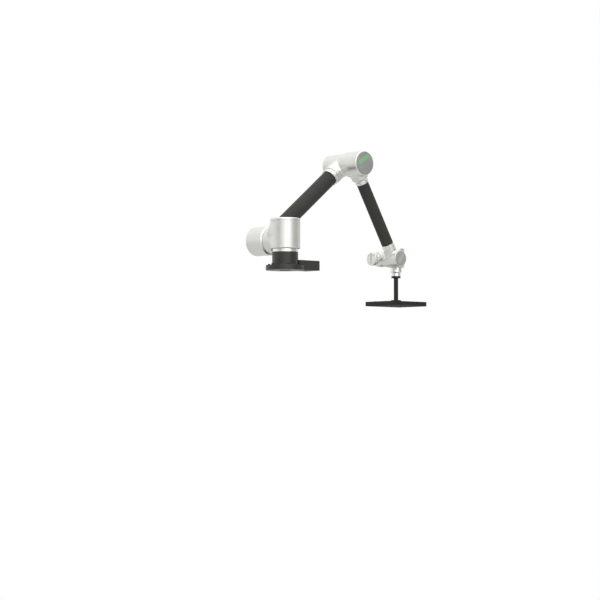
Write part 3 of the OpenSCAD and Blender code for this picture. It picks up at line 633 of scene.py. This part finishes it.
GRIPPER_TOP, PORT_X, PORT_Y, PORT_R = -163.0, -100.0, 95.0, 6.25
PORT_RING_R, PORT_RING_H = 10.5, 4.5
turned("port_ring", [
    (0, PORT_R), (0, PORT_RING_R, 0.4), (PORT_RING_H, PORT_RING_R, 1.2), (PORT_RING_H, PORT_R, 0.6)],
    (TOOL_X + PORT_X, WRIST_Y + PORT_Y, GRIPPER_TOP), UPRIGHT, "socket_black", body_of["gripper_plate"])


# ---- Socket-head screws, seated in their counterbores ----
# Shares of a screw's size: the head's radius, the hexagon's half width, the edge's rounding, the rim of the
# recess, and how deep the hexagon starts, ends and comes to a point
HEAD, HEXAGON, EDGE, RIM = 0.85, 0.46, 0.08, 0.52
HEX_START, HEX_END, HEX_POINT = 0.05, 0.26, 0.32
SCREW_STEPS = 24
# How deep a head sits and how far its top lies under the face, as shares of its size
SEAT_SHARE, TOP_SHARE = 0.6, 0.1


def screws(name, rings, body, stands_for=()):
    """Each ring: centre of the face, outward axis, count, circle, first angle, size, seat, top, length."""
    points, faces = [], []
    steps = SCREW_STEPS
    for centre, axis, count, circle, first, size, seat, top, length in rings:
        along, side, up = basis(axis)
        head, hexagon = HEAD * size, HEXAGON * size
        outline = [(seat - length, 0.0), (seat - length, size / 2), (seat, size / 2), (seat, head),
                   (top - EDGE * size, head), (top, head - EDGE * size), (top, RIM * size),
                   (top - HEX_START * size, -hexagon), (top - HEX_END * size, -hexagon),
                   (top - HEX_POINT * size, 0.0)]
        for n in range(count):
            a = math.radians(first) + 2 * math.pi * n / count
            foot = Vector(centre) + (side * math.cos(a) + up * math.sin(a)) * (circle / 2)
            base = len(points)
            for distance, radius in outline:
                for k in range(steps):
                    b = 2 * math.pi * k / steps
                    # A negative radius stands for the hexagon's half width
                    r = radius
                    if radius < 0.0:
                        r = -radius * math.cos(math.pi / 6) / math.cos(b % (math.pi / 3) - math.pi / 6)
                    spot = foot + along * distance + (side * math.cos(b) + up * math.sin(b)) * r
                    points.append(tuple(spot * MM))
            for i in range(len(outline) - 1):
                for k in range(steps):
                    m = (k + 1) % steps
                    one, two = base + i * steps, base + (i + 1) * steps
                    faces.append((one + k, one + m, two + m, two + k))
    mesh = welded_mesh(name, points, faces)
    shade(mesh)
    place_piece(name, mesh, "screw_steel", body, stands_for)


def sunk(size, length):
    """Size, seat, top and length of a screw whose head lies just under the face."""
    return size, -SEAT_SHARE * size, -TOP_SHARE * size, length


def faint_band(name, reach, low, high, turn_degrees, look, body):
    """A thin band painted across the elbow cap, cut off by a circle."""
    turn = math.radians(turn_degrees)
    outline = []
    for edge, way in ((low, 1), (high, -1)):
        half = math.sqrt(reach * reach - edge * edge)
        outline += [(way * t * half, edge) for t in np.linspace(-1.0, 1.0, 12)]
    points = []
    for depth in (0.3, -0.3):
        for across, down in outline:
            x = across * math.cos(turn) - down * math.sin(turn)
            z = -(across * math.sin(turn) + down * math.cos(turn))
            points.append(((ELBOW_X + x) * MM, (J3_END + depth) * MM, (ELBOW_Z + z) * MM))
    count = len(outline)
    faces = [tuple(range(count)), tuple(range(2 * count - 1, count - 1, -1))]
    faces += [(k, (k + 1) % count, count + (k + 1) % count, count + k) for k in range(count)]
    place_piece(name, welded_mesh(name, points, faces), "stripe_green", body, look=look)


# The elbow cap's lower band takes the darker, greyer green, which is painted shade.
faint_band("elbow_cap_faint_stripe", 60.0, 20.0, 34.0, -30.0, "stripe_green_painted_shade", body_of["elbow_cap"])

screws("shoulder_screws_detail", [((0, 0, J1_TOP), (0, 0, 1), 6, 150, 30, *sunk(6, 9))],
       body_of["shoulder_screws"], ("shoulder_screws",))
screws("upper_arm_screws_detail", [
    ((0, J2_TOP, SHOULDER_Z), (0, 1, 0), 6, 128, 0, *sunk(6, 12)),
    ((ELBOW_X, ELBOW_TOP, ELBOW_Z), (0, 1, 0), 4, 88, 45, *sunk(5, 7))],
    body_of["upper_arm_screws"], ("upper_arm_screws",))
screws("forearm_screws_detail", [
    ((ELBOW_X, J3_END, ELBOW_Z), (0, -1, 0), 6, 142, 0, *sunk(4, 4)),
    ((WRIST_X, J4_END, WRIST_Z), (0, -1, 0), 4, 88, 45, *sunk(3, 3))],
    body_of["forearm_screws"], ("forearm_screws",))
screws("wrist_1_screws_detail", [(along_wrist(J5_REAR), (-1, 0, 0), 4, 64, 45, *sunk(4, 8))],
       body_of["wrist_1_screws"], ("wrist_1_screws",))
screws("wrist_2_screws_detail", [((TOOL_X, WRIST_Y, J6_TOP), (0, 0, 1), 4, 84, 45, *sunk(4, 6))],
       body_of["wrist_2_screws"], ("wrist_2_screws",))
# The connector box's cover: its screws' places along the box, how far they are from its middle, and its height
BOX_SCREW_X, BOX_SCREW_Y, BOX_H = (236.0, 112.0), 56.0, 67.0
screws("box_cover_screws", [
    ((x, y, BOX_H), (0, 0, 1), 1, 0.0, 0, 4, 0.0, 1.8, 3.5)
    for x in BOX_SCREW_X for y in (BOX_SCREW_Y, -BOX_SCREW_Y)], "base")
for node, obj in frame["nodes"].items():
    if node.endswith(("_gear", "_stator", "_rotor")):
        paint(obj.data, slot_of[node])

# ---- Seals in the gaps between turning parts ----
SEAL_WIDTH, SEAL_DEPTH = 4.0, 12.0
for name, origin, axis, radius, body in (
    ("seal_1", (0, 0, J1_FACE - 2.5), (0, 0, 1), 81.0, "base"),
    ("seal_2", (0, J2_FACE - 2.5, SHOULDER_Z), (0, 1, 0), 84.0, "shoulder"),
    ("seal_3", (ELBOW_X, J3_FACE - 1.5, ELBOW_Z), (0, 1, 0), 78.0, "upper_arm"),
    ("seal_4", (WRIST_X, J4_FACE - 1.5, WRIST_Z), (0, 1, 0), 48.5, "forearm"),
    ("seal_5", along_wrist(J5_FACE - 1.5), (1, 0, 0), 45.0, "wrist_1"),
    ("seal_6", (TOOL_X, WRIST_Y, J6_BOTTOM - 2.5), (0, 0, 1), 38.0, "wrist_2"),
):
    inner = radius - SEAL_DEPTH
    ring = [(0, inner), (SEAL_WIDTH, inner), (SEAL_WIDTH, radius, 0.8), (0, radius, 0.8)]
    turned(name, ring, origin, axis, "seal", body)

# ---- Stage ----
FLOOR_Z, FLOOR_SIZE = -1.1, 120.0
bpy.ops.mesh.primitive_plane_add(size=FLOOR_SIZE, location=(0.0, 0.0, FLOOR_Z))
floor = bpy.context.object
floor.name = "floor"
floor_material, floor_tree, floor_shader = node_tree("floor_pale")
floor_shader.inputs["Base Color"].default_value = (0.55, 0.55, 0.55, 1.0)
floor_shader.inputs["Roughness"].default_value = 0.8
# Seen directly, the floor has the brightness of the background, so that no horizon shows
glow = add_node(floor_tree, "ShaderNodeEmission", Strength=1.0)
glow.inputs["Color"].default_value = (1.0, 1.0, 1.0, 1.0)
direct = floor_tree.nodes.new("ShaderNodeLightPath")
either = floor_tree.nodes.new("ShaderNodeMixShader")
floor_tree.links.new(direct.outputs["Is Camera Ray"], either.inputs[0])
floor_tree.links.new(floor_shader.outputs[0], either.inputs[1])
floor_tree.links.new(glow.outputs[0], either.inputs[2])
floor_tree.links.new(either.outputs[0], floor_tree.nodes["Material Output"].inputs["Surface"])
floor.data.materials.append(floor_material)

# ---- Studio light: a bright surround with dimmer and darker sides, and two wide, distant lights ----
# Each stop: the share of a full turn from straight behind the object, and the brightness there
SURROUND = (
    (0.00, 0.95), (0.17, 1.0), (0.20, 0.9), (0.29, 0.9), (0.33, 0.5), (0.46, 0.42), (0.49, 0.8), (0.51, 1.25),
    (0.63, 1.3), (0.665, 0.40), (0.80, 0.35), (0.84, 0.8), (1.00, 0.95),
)
WORLD_STRENGTH = 2.0
world = bpy.data.worlds.new("studio")
world.use_nodes = True
scene.world = world
tree = world.node_tree
background = tree.nodes["Background"]
place = tree.nodes.new("ShaderNodeTexCoord")
split = tree.nodes.new("ShaderNodeSeparateXYZ")
tree.links.new(place.outputs["Generated"], split.inputs[0])
turn = add_node(tree, "ShaderNodeMath", operation="ARCTAN2")
tree.links.new(split.outputs["Y"], turn.inputs[0])
tree.links.new(split.outputs["X"], turn.inputs[1])
# The angle is taken from straight behind the object, so that the camera stands half way along the ramp
behind = math.atan2(forward.y, forward.x)
shift = add_node(tree, "ShaderNodeMath", operation="SUBTRACT")
tree.links.new(turn.outputs[0], shift.inputs[0])
shift.inputs[1].default_value = behind
share = add_node(tree, "ShaderNodeMath", operation="DIVIDE")
tree.links.new(shift.outputs[0], share.inputs[0])
share.inputs[1].default_value = 2 * math.pi
wrap = add_node(tree, "ShaderNodeMath", operation="FRACT")
tree.links.new(share.outputs[0], wrap.inputs[0])
ramp = tree.nodes.new("ShaderNodeValToRGB")
stops = ramp.color_ramp.elements
while len(stops) < len(SURROUND):
    stops.new(0.5)
for stop, (where, level) in zip(stops, SURROUND):
    stop.position = where
    shade_of_grey = level / WORLD_STRENGTH
    stop.color = (shade_of_grey, shade_of_grey, shade_of_grey, 1.0)
tree.links.new(wrap.outputs[0], ramp.inputs["Fac"])


def towards_grey(factor, colour):
    """Turns a colour of the surround to plain grey as the factor rises."""
    node = add_node(tree, "ShaderNodeMix", data_type="RGBA")
    node.inputs[MIX_SECOND].default_value = (0.5, 0.5, 0.5, 1.0)
    tree.links.new(factor, node.inputs[MIX_FACTOR])
    tree.links.new(colour, node.inputs[MIX_FIRST])
    return node.outputs[MIX_RESULT]


# Plain grey overhead, and wherever the camera sees the surround directly
OVERHEAD_START, OVERHEAD_FULL = 0.35, 0.85
high = tree.nodes.new("ShaderNodeMapRange")
high.inputs["From Min"].default_value = OVERHEAD_START
high.inputs["From Max"].default_value = OVERHEAD_FULL
tree.links.new(split.outputs["Z"], high.inputs["Value"])
sky = towards_grey(high.outputs["Result"], ramp.outputs["Color"])
seen = tree.nodes.new("ShaderNodeLightPath")
show = towards_grey(seen.outputs["Is Camera Ray"], sky)
tree.links.new(show, background.inputs["Color"])
background.inputs["Strength"].default_value = WORLD_STRENGTH


def far_light(name, place, target, strength, spread_degrees):
    """A distant light that shines from a place towards a target, from a patch of sky as wide as the spread."""
    data = bpy.data.lights.new(name, "SUN")
    data.energy = strength
    data.angle = math.radians(spread_degrees)
    lamp = bpy.data.objects.new(name, data)
    lamp.rotation_euler = (Vector(target) - Vector(place)).to_track_quat("-Z", "Y").to_euler()
    scene.collection.objects.link(lamp)


far_light("overhead", (0.2, -0.6, 4.2), (0.5, 0.1, 0.3), 0.8, 80.0)
far_light("front", (-3.6, -4.6, 2.2), (0.5, 0.1, 0.4), 0.6, 70.0)
